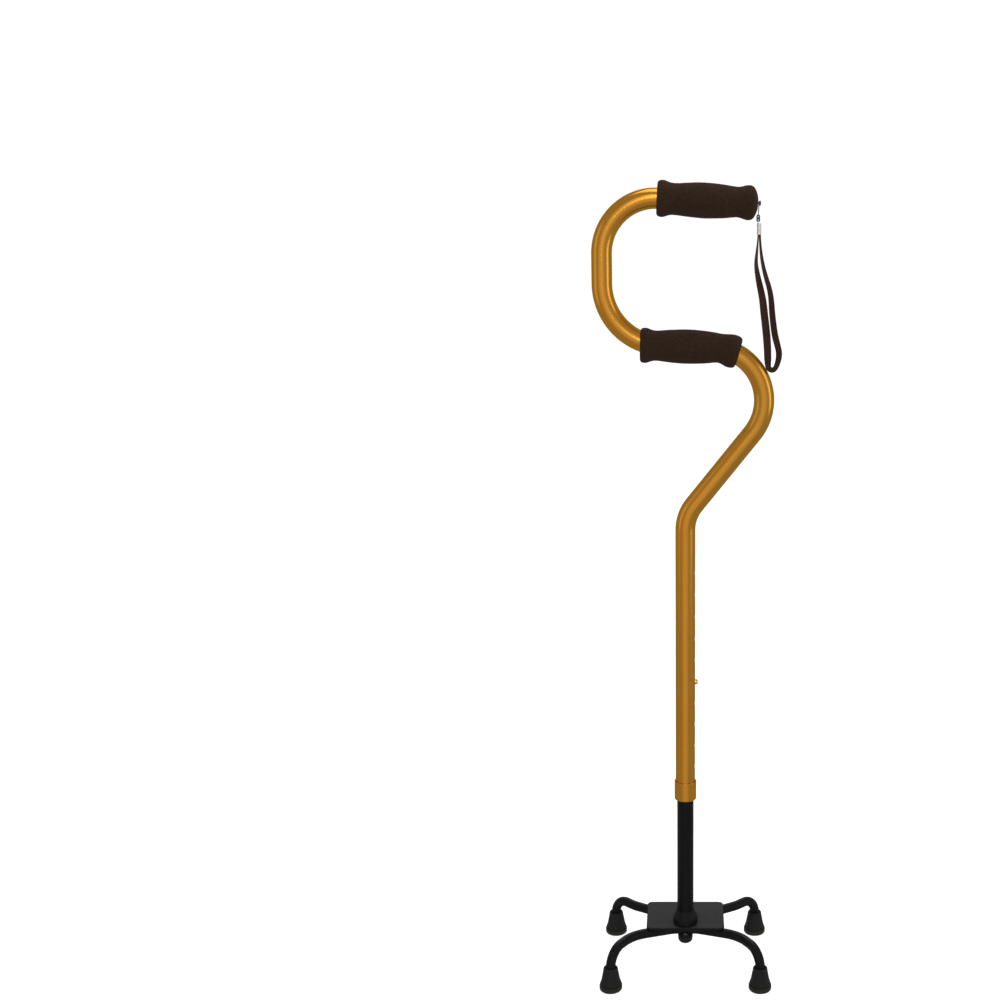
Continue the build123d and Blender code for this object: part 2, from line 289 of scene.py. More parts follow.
# ------------------------------------------------------------------ finishes
class Finish:
    """A procedural material: a Principled shader with helpers for the nodes in front of it."""

    def __init__(self, name, place="Object", **constants):
        self.material = bpy.data.materials.new(name)
        self.material.use_nodes = True
        self.tree = self.material.node_tree
        self.shader = self.tree.nodes["Principled BSDF"]
        for socket, value in constants.items():
            self.shader.inputs[socket.replace("_", " ")].default_value = value
        if place == "straight":
            source = self.node("ShaderNodeAttribute")
            source.attribute_name = "straight"
            self.place = source.outputs["Vector"]
        else:
            self.place = self.node("ShaderNodeTexCoord").outputs["Object"]
        self.bumps = None

    def node(self, kind, **inputs):
        made = self.tree.nodes.new(kind)
        for socket, value in inputs.items():
            self.feed(made.inputs[socket.replace("_", " ")], value)
        return made

    def feed(self, socket, value):
        if isinstance(value, bpy.types.NodeSocket):
            self.tree.links.new(value, socket)
        else:
            socket.default_value = value

    def stretched(self, scale):
        return self.node("ShaderNodeMapping", Vector=self.place, Scale=scale).outputs["Vector"]

    def noise(self, scale, detail=3.0, roughness=0.55):
        """Noise with features per metre along each axis."""
        place = self.stretched(scale if isinstance(scale, tuple) else (scale,) * 3)
        made = self.node("ShaderNodeTexNoise", Vector=place, Scale=1.0, Detail=detail, Roughness=roughness)
        return made.outputs["Fac"]

    def cells(self, scale):
        made = self.node("ShaderNodeTexVoronoi", Vector=self.stretched((scale,) * 3), Scale=1.0)
        return made.outputs["Distance"]

    def span(self, value, low, high, to_low=0.0, to_high=1.0):
        made = self.node("ShaderNodeMapRange", Value=value, From_Min=low, From_Max=high)
        made.inputs["To Min"].default_value = to_low
        made.inputs["To Max"].default_value = to_high
        return made.outputs["Result"]

    def mix(self, factor, first, second):
        made = self.tree.nodes.new("ShaderNodeMix")
        made.data_type = "RGBA"
        self.feed(made.inputs[0], factor)
        self.feed(made.inputs[6], first)
        self.feed(made.inputs[7], second)
        return made.outputs[2]

    def math(self, operation, first, second):
        made = self.tree.nodes.new("ShaderNodeMath")
        made.operation = operation
        self.feed(made.inputs[0], first)
        self.feed(made.inputs[1], second)
        return made.outputs[0]

    def height(self, value, distance, strength=1.0):
        """Adds a layer of relief, distance metres deep."""
        made = self.node("ShaderNodeBump", Height=value, Distance=distance, Strength=strength)
        if self.bumps is not None:
            self.tree.links.new(self.bumps, made.inputs["Normal"])
        self.bumps = made.outputs["Normal"]
        self.tree.links.new(self.bumps, self.shader.inputs["Normal"])

    def colour(self, value):
        self.feed(self.shader.inputs["Base Color"], value)

    def roughness(self, value):
        self.feed(self.shader.inputs["Roughness"], value)


def gold_finish():
    """Bronze-gold anodised aluminium, drawn lengthways."""
    look = Finish(
        "anodised_gold_straight", "straight", Metallic=1.0, Coat_Weight=0.04, Coat_Roughness=0.18,
        Specular_Tint=(0.80, 0.78, 0.36, 1),
    )
    bands = look.noise((170.0, 170.0, 4.0), detail=2.0)
    clouds = look.noise(38.0, detail=2.0)
    drawn = look.noise((2600.0, 2600.0, 22.0), detail=2.0)
    olive, orange = (0.62, 0.315, 0.046, 1), (0.80, 0.310, 0.030, 1)
    shade = look.mix(look.span(bands, 0.35, 0.65), olive, orange)
    shade = look.mix(look.span(clouds, 0.35, 0.75, 0.0, 0.35), shade, (0.70, 0.37, 0.062, 1))
    shade = look.mix(look.span(drawn, 0.25, 0.75, 0.0, 0.30), shade, (0.44, 0.180, 0.016, 1))
    look.colour(shade)
    look.roughness(look.span(drawn, 0.2, 0.8, 0.20, 0.32))
    look.height(drawn, 0.02 * MM, 0.5)
    return look.material


def foam_finish():
    """Dark brown closed-cell foam: matt skin, fine pores with painted shade in them and faint lengthways
    streaks.
    """
    look = Finish(
        "grip_foam", "straight", Sheen_Weight=0.06, Sheen_Roughness=0.6, Specular_IOR_Level=0.08,
        Sheen_Tint=(0.75, 0.55, 0.45, 1),
    )
    mottle = look.noise(260.0, detail=4.0)
    streaks = look.noise((1500.0, 1500.0, 90.0), detail=2.0)
    pores_and_pit_shade = look.cells(1500.0)
    pits = look.cells(620.0)
    shade = look.mix(look.span(mottle, 0.3, 0.7), (0.0245, 0.0125, 0.0072, 1), (0.040, 0.0215, 0.0130, 1))
    shade = look.mix(look.span(streaks, 0.35, 0.75, 0.0, 0.4), shade, (0.062, 0.036, 0.024, 1))
    # The pores' centres are painted near black: painted shade in the pits that the bump below sinks.
    shade = look.mix(look.span(pores_and_pit_shade, 0.0, 0.35, 0.75, 0.0), shade, (0.012, 0.006, 0.004, 1))
    look.colour(shade)
    look.roughness(look.span(mottle, 0.2, 0.8, 0.78, 0.95))
    look.height(look.span(pores_and_pit_shade, 0.0, 0.5), 0.10 * MM)
    look.height(look.span(pits, 0.0, 0.3), 0.08 * MM)
    look.height(streaks, 0.06 * MM)
    return look.material


def coated_finish(name, dark, light, rough, peel, greying=0.0):
    """Black paint, powder coat or dyed aluminium with a fine surface grain and faint rub marks. Faces that
    look
    up are painted a paler grey: partly dust, partly painted light from above."""
    look = Finish(name, Specular_IOR_Level=0.13)
    grain = look.noise(peel, detail=3.0)
    rubs = look.noise((210.0, 210.0, 60.0), detail=5.0, roughness=0.65)
    shade = look.mix(look.span(rubs, 0.35, 0.72), dark, light)
    shade = look.mix(look.span(grain, 0.3, 0.8, 0.0, 0.35), shade, dark)
    if greying:
        # Paler grey on the faces that look up: partly settled dust, partly painted light from the lamps
        # overhead.
        normal = look.node("ShaderNodeNewGeometry").outputs["Normal"]
        up = look.node("ShaderNodeSeparateXYZ", Vector=normal).outputs["Z"]
        top_light_and_dust = look.math("MULTIPLY", look.span(up, 0.90, 1.0), look.span(rubs, 0.2, 0.7, 0.75, 1.0))
        shade = look.mix(top_light_and_dust, shade, (greying, greying, 0.97 * greying, 1))
    look.colour(shade)
    look.roughness(look.span(rubs, 0.3, 0.7, rough[0], rough[1]))
    look.height(grain, 0.05 * MM, 0.6)
    return look.material


def rubber_finish():
    """Moulded rubber, dusty towards the floor."""
    look = Finish("tip_rubber", Specular_IOR_Level=0.22)
    grain = look.noise(900.0, detail=4.0)
    patches = look.noise(140.0, detail=4.0)
    split = look.node("ShaderNodeSeparateXYZ", Vector=look.place)
    low = look.span(split.outputs["Z"], 0.0, 9 * MM, 1.0, 0.0)
    shade = look.mix(look.span(patches, 0.3, 0.7), (0.007, 0.0067, 0.0064, 1), (0.014, 0.0135, 0.0125, 1))
    greying = look.math("MULTIPLY", look.math("MULTIPLY", low, grain), 0.9)
    look.colour(look.mix(greying, shade, (0.062, 0.058, 0.052, 1)))
    look.roughness(look.span(patches, 0.2, 0.8, 0.45, 0.65))
    look.height(grain, 0.06 * MM, 0.7)
    return look.material


def plastic_finish():
    look = Finish("black_plastic", Specular_IOR_Level=0.25)
    grain = look.noise(1400.0, detail=2.0)
    flow = look.noise(120.0, detail=3.0)
    look.colour(look.mix(look.span(flow, 0.3, 0.7), (0.005, 0.005, 0.0053, 1), (0.011, 0.011, 0.0115, 1)))
    look.roughness(look.span(flow, 0.3, 0.7, 0.30, 0.44))
    look.height(grain, 0.02 * MM, 0.5)
    return look.material


def metal_finish(name, dark, light, rough, lines):
    """Bare or plated metal with fine working lines."""
    look = Finish(name, Metallic=1.0)
    scratches = look.noise(lines, detail=3.0)
    clouds = look.noise(300.0, detail=3.0)
    shade = look.mix(look.span(clouds, 0.3, 0.7), dark, light)
    look.colour(look.mix(look.span(scratches, 0.4, 0.8, 0.0, 0.3), shade, dark))
    look.roughness(look.span(scratches, 0.2, 0.8, rough[0], rough[1]))
    look.height(scratches, 0.02 * MM, 0.6)
    return look.material


def webbing_finish():
    """Woven polyester in dark brown."""
    look = Finish(
        "strap_fabric", "straight", Sheen_Weight=0.5, Sheen_Roughness=0.45, Specular_IOR_Level=0.2,
        Sheen_Tint=(0.85, 0.5, 0.4, 1),
    )
    yarn = look.noise((5200.0, 5200.0, 900.0), detail=2.0)
    dye = look.noise((120.0, 120.0, 45.0), detail=3.0)
    shade = look.mix(look.span(dye, 0.3, 0.7), (0.020, 0.0078, 0.0052, 1), (0.046, 0.0175, 0.0125, 1))
    look.colour(look.mix(look.span(yarn, 0.45, 0.8, 0.0, 0.6), shade, (0.088, 0.040, 0.030, 1)))
    look.roughness(look.span(yarn, 0.2, 0.8, 0.7, 0.92))
    look.height(yarn, 0.05 * MM, 0.8)
    return look.material


def nylon_finish():
    """Clear grey monofilament cord."""
    look = Finish("cord_nylon", Transmission_Weight=0.45, IOR=1.53, Specular_IOR_Level=0.5)
    strands = look.noise((2500.0, 2500.0, 500.0), detail=2.0)
    look.colour(look.mix(strands, (0.30, 0.29, 0.28, 1), (0.62, 0.61, 0.60, 1)))
    look.roughness(look.span(strands, 0.2, 0.8, 0.18, 0.34))
    look.height(strands, 0.03 * MM, 0.7)
    return look.material


finishes = {
    "anodised_gold": gold_finish(),
    "grip_foam": foam_finish(),
    "black_aluminium": coated_finish(
        "black_aluminium", (0.0035, 0.0035, 0.0036, 1), (0.007, 0.007, 0.0073, 1), (0.30, 0.40),
        (900.0, 900.0, 20.0),
    ),
    "black_powder_coat": coated_finish(
        "black_powder_coat", (0.0045, 0.0045, 0.0047, 1), (0.0095, 0.0095, 0.0096, 1), (0.36, 0.50),
        1300.0, greying=0.047,
    ),
    "tip_rubber": rubber_finish(),
    "black_plastic": plastic_finish(),
    "button_brass": metal_finish(
        "button_brass", (0.55, 0.38, 0.13, 1), (0.86, 0.66, 0.28, 1), (0.18, 0.32), (2200.0, 300.0, 2200.0)
    ),
    "spring_steel": metal_finish(
        "spring_steel", (0.24, 0.25, 0.27, 1), (0.48, 0.49, 0.50, 1), (0.25, 0.42), (2400.0, 2400.0, 200.0)
    ),
    "zinc_steel": metal_finish(
        "zinc_steel", (0.42, 0.42, 0.41, 1), (0.68, 0.67, 0.63, 1), (0.30, 0.48), 1100.0
    ),
    "strap_fabric": webbing_finish(),
    "cord_nylon": nylon_finish(),
    "crimp_metal": metal_finish(
        "crimp_metal", (0.66, 0.64, 0.61, 1), (0.84, 0.83, 0.80, 1), (0.42, 0.55), (2600.0, 2600.0, 400.0)
    ),
}

# ------------------------------------------------------------------ cords: tether and wrist webbing
upper_tilt = radians(2.75)
upper_axis_z = 886.0 * MM
grip_start_x = -30.5 * MM
grip_end = 108.2 * MM


def on_upper_axis(x):
    return Vector((x, 0, upper_axis_z - x * tan(upper_tilt)))


grip_origin = on_upper_axis(grip_start_x)
grip_direction = Vector((cos(upper_tilt), 0, -sin(upper_tilt)))
grip_up = Vector((sin(upper_tilt), 0, cos(upper_tilt)))


def at_grip_end(along, side, up):
    """Point given along the upper grip's axis, across it and square to it."""
    return grip_origin + grip_direction * along + Vector((0, side, 0)) + grip_up * up


def spline_curve(name, route):
    """NURBS curve with the route's points as its control points."""
    data = bpy.data.curves.new(name, "CURVE")
    data.dimensions = "3D"
    spline = data.splines.new("NURBS")
    spline.points.add(len(route) - 1)
    for point, place in zip(spline.points, route):
        point.co = (*place, 1.0)
    spline.order_u = 3
    spline.use_endpoint_u = True
    spline.resolution_u = 12
    curve = bpy.data.objects.new(name, data)
    bpy.context.scene.collection.objects.link(curve)
    return curve


def line_of(curve):
    """Points along a curve with no bevel."""
    view = bpy.context.evaluated_depsgraph_get()
    view.update()
    mesh = bpy.data.meshes.new_from_object(curve.evaluated_get(view))
    line = [mesh.vertices[0].co.copy()]
    for vertex in mesh.vertices:
        if (vertex.co - line[-1]).length > 0.3 * MM:
            line.append(vertex.co.copy())
    return [tuple(point) for point in line]


tether_diameter = 0.9 * MM
tether_bend = 2.1 * MM
link_drop = 13.9 * MM
tether_along = grip_end + 0.6 * MM
tether_route = [
    at_grip_end(tether_along, tether_bend, -9.1 * MM),
    at_grip_end(tether_along, tether_bend, tether_bend),
    at_grip_end(tether_along, -tether_bend, tether_bend),
    at_grip_end(tether_along, -tether_bend, -link_drop),
    at_grip_end(tether_along, tether_bend, -link_drop),
    at_grip_end(tether_along, tether_bend, -9.4 * MM),
]

webbing_width = 8.5 * MM
webbing_thickness = 1.5 * MM
webbing_route = [
    (0.07773, 0, 0.85806), (0.07773, 0, 0.8478), (0.0765, 0, 0.8320), (0.0753, 0, 0.8190),
    (0.0777, 0, 0.8050), (0.0810, 0, 0.7910), (0.0835, 0, 0.7790), (0.0849, 0, 0.7660),
    (0.0865, 0, 0.7540), (0.0880, 0, 0.7410), (0.0889, 0, 0.7290), (0.0893, 0, 0.7190),
    (0.0896, 0, 0.7090), (0.0912, 0, 0.7057), (0.0950, 0, 0.7046), (0.0980, 0, 0.7070),
    (0.1006, 0, 0.7140), (0.1018, 0, 0.7225), (0.1001, 0, 0.7305), (0.0970, 0, 0.7410),
    (0.0951, 0, 0.7530), (0.0934, 0, 0.7670), (0.0925, 0, 0.7800), (0.0905, 0, 0.7920),
    (0.0864, 0, 0.8045), (0.0828, 0, 0.8180), (0.0807, 0, 0.8310), (0.07929, 0, 0.8478),
    (0.07929, 0, 0.85806),
]
# How far the webbing is turned face-on, from its edge-on ends: (share of its length, degrees).
webbing_twist = [
    (0.00, 0), (0.06, 8), (0.13, 28), (0.20, 55), (0.28, 74), (0.38, 82), (0.45, 72), (0.49, 38),
    (0.51, 30), (0.56, 48), (0.63, 52), (0.72, 44), (0.82, 30), (0.92, 10), (1.00, 0),
]


def tether_cord():
    curve = spline_curve("tether_cord", tether_route)
    curve.data.bevel_depth = tether_diameter / 2
    curve.data.bevel_resolution = 5
    curve.data.use_fill_caps = True
    return dress(curve, "strap_hanger", "cord_nylon", ["strap_cord"])


def webbing_section():
    """Half outline of the webbing: (place across it, edge rounding, ridge height, yarn column) rows."""
    columns, per_column = 9, 4
    rows = []
    for step in range(columns * per_column + 1):
        share = step / (columns * per_column)
        across = (share - 0.5) * webbing_width
        edge = min(1.0, min(share, 1 - share) * 14) ** 0.5
        ridge = abs(sin(pi * share * columns))
        rows.append((across, edge, ridge, min(int(share * columns), columns - 1)))
    return rows


def wrist_webbing():
    """Woven ribbon along the route, turning from edge-on to face-on and back."""
    guide = spline_curve("webbing_guide", webbing_route)
    line = line_of(guide)
    bpy.data.objects.remove(guide)
    axis = Axis.through(line)
    pick = 1.9 * MM                         # one crossing thread and the next
    relief = 0.13 * MM
    flat_half = webbing_thickness / 2 - relief
    section = webbing_section()
    rings, points = [], []
    shares, turns = zip(*webbing_twist)
    count = ceil(axis.length / (0.45 * MM))
    for number in range(count + 1):
        along = axis.length * number / count
        centre, side, up = axis.frame(along)
        turn = radians(np.interp(along / axis.length, shares, turns))
        wide = cos(turn) * side + sin(turn) * up
        out = cos(turn) * up - sin(turn) * side
        ring = []
        for face in (1, -1):
            for across, edge, ridge, column in section[:: face][: len(section) - 1]:
                wave = sin(2 * pi * along / pick + pi * column + (0 if face > 0 else pi / 2))
                lift = (flat_half + relief * ridge * (0.55 + 0.45 * wave)) * edge
                ring.append(len(points))
                points.append(centre + wide * across + out * face * lift)
        rings.append(ring)
    faces = []
    around = len(rings[0])
    for first, second in zip(rings, rings[1:]):
        for step in range(around):
            after = (step + 1) % around
            faces.append((first[step], second[step], second[after], first[after]))
    faces.append(tuple(rings[0]))
    faces.append(tuple(reversed(rings[-1])))
    piece = add_mesh("wrist_webbing", points, faces)
    lay_out_straight(piece, axis)
    dress(piece, "strap", "strap_fabric", ["strap_webbing"], sharp=70)
    return piece, line


# ------------------------------------------------------------------ handle tube and inner tube
handle_radius = 11.1 * MM
handle_bore = 9.6 * MM
handle_low_z = 215.0 * MM
hole_count, holes_below = 10, 4          # height holes, and those below the one in use
hole_pitch = 25.4 * MM
hole_radius = 3.25 * MM
inner_bore = 8.025 * MM
button_hole_radius = 3.2 * MM
button_z = 350.7 * MM
loop_back_x = -89.7 * MM
lower_axis_z = 730.4 * MM
lower_tilt = radians(1.8)
neck_lean = radians(38.5)
neck_foot_z = 543.3 * MM
tube_tip_x = 70.0 * MM


def on_lower_axis(x):
    return Vector((x, 0, lower_axis_z - x * tan(lower_tilt)))


elbow_x = (lower_axis_z - neck_foot_z) / (1 / tan(neck_lean) + tan(lower_tilt))
handle_axis = Axis(
    [
        on_upper_axis(tube_tip_x), on_upper_axis(loop_back_x), on_lower_axis(loop_back_x),
        on_lower_axis(elbow_x), (0, 0, neck_foot_z), (0, 0, handle_low_z),
    ],
    bends=[58 * MM, 67 * MM, 58 * MM, 45 * MM],
)


def tube_outline(length, radius, bore, step, rim=0.35 * MM):
    """Outside of a tube, its far rim, its bore and its near rim."""
    out_count, in_count = ceil(length / step), ceil(length / (3 * step))
    outside = [(rim + (length - 2 * rim) * k / out_count, radius) for k in range(out_count + 1)]
    inside = [(rim + (length - 2 * rim) * (1 - k / in_count), bore) for k in range(in_count + 1)]
    far = rounded(
        [(length - rim, radius), (length, radius, rim), (length, bore, rim), (length - rim, bore)], False, 4
    )
    near = rounded([(rim, bore), (0, bore, rim), (0, radius, rim), (rim, radius)], False, 4)
    return outside + far[1:-1] + inside + near[1:-1]


def hole_cutter(radius, z):
    """Punch along X, through the +X wall only."""
    axis = Axis([(0, 0, z), (1, 0, z)])
    low_x, high_x = 2 * MM, 14 * MM
    outline = [(low_x, 0), (low_x, radius), (high_x, radius), (high_x, 0)]
    points, faces = round_solid(axis, outline, 48, closed=False)
    return add_mesh("cutter", points, faces)


def handle_tube():
    outline = tube_outline(handle_axis.length, handle_radius, handle_bore, 2.0 * MM)
    points, faces = round_solid(handle_axis, outline, 72)
    piece = add_mesh("handle_tube_shell", points, faces)
    lowest = button_z - holes_below * hole_pitch
    heights = [lowest + number * hole_pitch for number in range(hole_count)]
    cut_away(piece, [hole_cutter(hole_radius, z) for z in heights])
    lay_out_straight(piece, handle_axis)
    return dress(piece, "handle", "anodised_gold", ["handle_tube"], sharp=32)


def inner_tube():
    low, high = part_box("inner_tube")
    axis = Axis([(0, 0, low.z), (0, 0, high.z)])
    outline = tube_outline(axis.length, high.x, inner_bore, 4.0 * MM)
    points, faces = round_solid(axis, outline, 72)
    piece = add_mesh("inner_tube_shell", points, faces)
    cut_away(piece, [hole_cutter(button_hole_radius, button_z)])
    return dress(piece, "base", "black_aluminium", ["inner_tube"], sharp=32)


# ------------------------------------------------------------------ foam grips
def foam_swell(point, radius):
    """Slight unevenness of soft foam. Its bore and its end's middle stay true."""
    if radius < 12.5 * MM:
        return 0.0
    place = Vector(point)
    broad = noise.noise(place * 60) * 0.16
    fine = noise.noise(place * 420) * 0.05
    return (broad + fine - 0.12) * MM


foam_bore = handle_radius + 0.06 * MM


def foam_sleeve(name, axis, outline, replaces, cutters=()):
    """Soft round sleeve. Its outline has the bore in it, or the cutters make the bore."""
    points, faces = round_solid(axis, outline, 112, closed=not cutters, offset=foam_swell)
    piece = add_mesh(name, points, faces)
    if cutters:
        cut_away(piece, cutters)
    lay_out_straight(piece, axis)
    dress(piece, "handle", "grip_foam", replaces, sharp=60)
    return piece


def upper_grip():
    """Palm swell between two waists, a rolled collar and a bulb with a nearly flat end."""
    side = [
        (0.15, 14.6), (0.4, 16.6), (1.5, 18.4), (4.6, 19.4), (7.8, 19.3), (11.0, 18.2), (14.2, 17.2),
        (18.0, 16.8), (23.7, 17.05), (33.0, 17.9), (42.8, 18.6), (52.0, 18.75), (61.9, 18.35),
        (71.0, 17.7), (80.0, 16.6), (86.0, 16.05), (90.4, 16.8), (94.0, 17.9), (97.4, 18.4),
        (100.6, 18.0), (103.2, 16.4), (105.4, 12.8), (107.3, 7.5), (107.9, 3.2),
    ]
    outside = smooth_line(millimetres(side))
    rivet_hole = 1.3 * MM
    bore_end = 102.7 * MM
    closed_end = [
        (107.6 * MM, 1.9 * MM), (106.9 * MM, rivet_hole), (104 * MM, rivet_hole), (bore_end, rivet_hole)
    ]
    lip_end = 1.65 * MM
    bore_line = [(bore_end + (lip_end - bore_end) * k / 40, foam_bore) for k in range(40)]
    lip = rounded(
        [(lip_end, foam_bore), (0.15 * MM, foam_bore, 0.8 * MM), outside[0]], closed=False, steps=5
    )
    axis = Axis([grip_origin, grip_origin + grip_direction])
    outline = outside + closed_end + bore_line + lip[:-1]
    return foam_sleeve("upper_foam_sleeve", axis, outline, ["upper_grip"])


def lower_grip():
    """Same sleeve with a rolled collar at both ends. It is stiffer than the tube's bends."""
    start_x, bend_x, end_x = -49.0 * MM, 38.0 * MM, 57.8 * MM
    bend = on_lower_axis(bend_x)
    fall = tan(lower_tilt + radians(15)) * (end_x - bend_x)
    axis = Axis([on_lower_axis(start_x), bend, (end_x, 0, bend.z - fall)], bends=[80 * MM])
    side = [
        (0.1, 14.4), (0.35, 16.6), (1.8, 18.5), (4.6, 19.1), (7.6, 18.9), (10.8, 17.7), (14.0, 16.8),
        (18.5, 16.4), (26.0, 17.1), (34.0, 17.9), (46.0, 18.6), (59.0, 18.45), (72.0, 17.55),
        (80.0, 16.6), (86.0, 16.0), (90.5, 16.5), (95.5, 17.7), (99.5, 18.2), (103.5, 17.8),
        (106.0, 16.8), (107.2, 15.3), (107.5, 13.2),
    ]
    outline = [(0.1 * MM, 0), *smooth_line(millimetres(side)), (107.5 * MM, 0)]
    reach = (295 * MM, 420 * MM)            # longer than the sleeve, along the tube's axis
    tube = [(reach[0], 0)]
    tube += [(reach[0] + (reach[1] - reach[0]) * k / 125, foam_bore) for k in range(126)]
    points, faces = round_solid(handle_axis, [*tube, (reach[1], 0)], 96, closed=False)
    cutter = add_mesh("cutter", points, faces)
    return foam_sleeve("lower_foam_sleeve", axis, outline, ["lower_grip"], [cutter])


# ------------------------------------------------------------------ fittings at the grip's end
def strap_rivet():
    axis = Axis([grip_origin, grip_origin + grip_direction])
    outline = rounded(
        millimetres([
            (88.7, 0), (88.7, 1.2, 0.3), (109.4, 1.2, 0.2), (109.45, 2.9, 0.3), (110.1, 2.9, 0.5),
            (110.85, 1.7, 0.6), (110.85, 0),
        ]),
        closed=False,
    )
    return turned("rivet_knob", axis, outline, "handle", "black_plastic", ["strap_rivet"], 40, closed=False)


def flat_plate(name, outlines, thickness, edge, matrix):
    """Flat piece with round edges, from closed outlines: its rim and its holes."""
    data = bpy.data.curves.new(name, "CURVE")
    data.dimensions = "2D"
    data.fill_mode = "BOTH"
    for outline in outlines:
        spline = data.splines.new("POLY")
        spline.points.add(len(outline) - 1)
        for point, (x, y) in zip(spline.points, outline):
            point.co = (x, y, 0, 1)
        spline.use_cyclic_u = True
    data.extrude = thickness / 2 - edge
    data.bevel_depth = edge
    data.bevel_resolution = 3
    data.offset = -edge
    shape = bpy.data.objects.new(name, data)
    bpy.context.scene.collection.objects.link(shape)
    view = bpy.context.evaluated_depsgraph_get()
    view.update()
    mesh = bpy.data.meshes.new_from_object(shape.evaluated_get(view))
    bpy.data.objects.remove(shape)
    mesh.transform(matrix)
    work = bmesh.new()
    work.from_mesh(mesh)
    bmesh.ops.remove_doubles(work, verts=work.verts, dist=0.001 * MM)
    bmesh.ops.recalc_face_normals(work, faces=work.faces)
    work.to_mesh(mesh)
    work.free()
    piece = bpy.data.objects.new(name, mesh)
    bpy.context.scene.collection.objects.link(piece)
    return piece


def circle(radius, x=0.0, y=0.0, count=48):
    turns = [2 * pi * k / count for k in range(count)]
    return [(x + radius * cos(a), y + radius * sin(a)) for a in turns]


def strap_link():
    """Two-eyed link."""
    low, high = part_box("strap_link")
    half = (high.x - low.x) / 2
    lower, upper = low.z + half, high.z - half
    middle_x = (low.x + high.x) / 2
    waist = half - 0.2 * MM
    eye = 0.8 * MM
    overlap = asin(waist / half)
    arc = [overlap - pi / 2 + (2 * pi - 2 * overlap) * k / 36 for k in range(37)]
    rim = [(middle_x + half * cos(a), upper + half * sin(a)) for a in arc]
    rim += [(middle_x - half * cos(a), lower - half * sin(a)) for a in arc]
    eyes = [circle(eye, middle_x, z, 32) for z in (lower, upper)]
    upright_plane = Matrix(((1, 0, 0, 0), (0, 0, -1, 0), (0, 1, 0, 0), (0, 0, 0, 1)))
    piece = flat_plate("two_eye_link", [rim, *eyes], high.y - low.y, 0.28 * MM, upright_plane)
    return dress(piece, "strap_hanger", "black_plastic", ["strap_link"], sharp=40)


def crimp_sleeve():
    """Folded metal sleeve, closed at the top, squeezed on the webbing by two crimps."""
    low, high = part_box("strap_clamp")
    high_z = low.z + 12.0 * MM
    half_x, half_y = (high.x - low.x) / 2, (high.y - low.y) / 2
    middle_x = (low.x + high.x) / 2
    wall = 0.42 * MM

    def ring(z, inset, pinch):
        corners = [(-1, -1), (1, -1), (1, 1), (-1, 1)]
        wide, deep = half_x - inset, half_y - inset
        radius = 1.5 * MM - inset * 0.8
        outline = rounded([(a * wide, b * deep, radius) for a, b in corners], True, 7)
        made = []
        for x, y in outline:
            squeeze = pinch * max(0.0, 1 - (y / deep) ** 2)
            made.append((middle_x + x * (1 - squeeze), y, z))
        return made

    levels = []
    for k in range(41):
        share = k / 40
        z = low.z + 0.25 * MM + (high_z - low.z - 1.0 * MM) * share
        dents = sum(np.exp(-(((share - centre) / 0.07) ** 2)) for centre in (0.3, 0.62))
        levels.append(ring(z, 0, 0.13 * dents))
    top = [
        ring(high_z - 0.75 * MM * (1 - sin(a)), 0.75 * MM * (1 - cos(a)), 0)
        for a in [pi / 2 * k / 5 for k in range(1, 6)]
    ]
    lip = [ring(low.z, 0.12 * MM, 0), ring(low.z, wall, 0), ring(low.z + 0.3 * MM, wall + 0.05 * MM, 0)]
    roof = [ring(low.z + 9.2 * MM, wall + 0.05 * MM, 0)]
    rings = [roof[0], lip[2], lip[1], lip[0], *levels, *top]
    count = len(rings[0])
    points = [p for level in rings for p in level]
    faces = []
    for number in range(len(rings) - 1):
        for step in range(count):
            after = (step + 1) % count
            start = number * count
            faces.append((start + step, start + after, start + count + after, start + count + step))
    faces.append(tuple(range(count)))
    faces.append(tuple(reversed(range(len(points) - count, len(points)))))
    piece = add_mesh("crimp_sleeve", points, faces)
    return dress(piece, "strap", "crimp_metal", ["strap_clamp"], sharp=50)


def crimp_staple():
    """Wire loop from the sleeve through the link's lower eye."""
    sleeve_low, sleeve_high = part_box("strap_clamp")
    link_low, link_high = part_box("strap_link")
    x = (link_low.x + link_high.x) / 2
    wire = 0.5 * MM
    top_z = sleeve_high.z - wire
    root_z = sleeve_low.z + 11.2 * MM
    half = 2.1 * MM
    axis = Axis(
        [(x, -half, root_z), (x, -half, top_z), (x, half, top_z), (x, half, root_z)], bends=[0.9 * MM] * 2
    )
    steps = ceil(axis.length / (0.3 * MM))
    outline = [(0, 0)] + [(axis.length * k / steps, wire) for k in range(steps + 1)] + [(axis.length, 0)]
    return turned("crimp_staple", axis, outline, "strap", "crimp_metal", ["strap_clamp"], 20, closed=False)


# ------------------------------------------------------------------ collar and button
def lock_collar():
    low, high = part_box("lock_collar")
    wide, neck, chamber, foot = high.x, handle_radius + 0.1 * MM, 11.7 * MM, 10.2 * MM
    chamber_low, chamber_high = low.z + 1 * MM, handle_low_z + 2 * MM
    wall = [(low.z + (high.z - low.z) * k / 10, wide) for k in range(1, 10)]
    outline = rounded(
        [
            (low.z, foot, 0.3 * MM), (low.z, wide, 1.1 * MM), *wall, (high.z, wide, 0.9 * MM),
            (high.z, neck, 0.2 * MM), (chamber_high, neck), (chamber_high, chamber),
            (chamber_low, chamber), (chamber_low, foot, 0.2 * MM),
        ],
        steps=8,
    )
    axis = upright()
    points, faces = round_solid(axis, outline, 96)
    piece = add_mesh("twist_collar", points, faces)
    lay_out_straight(piece, axis)
    return dress(piece, "collar", "anodised_gold", ["lock_collar"], sharp=40)


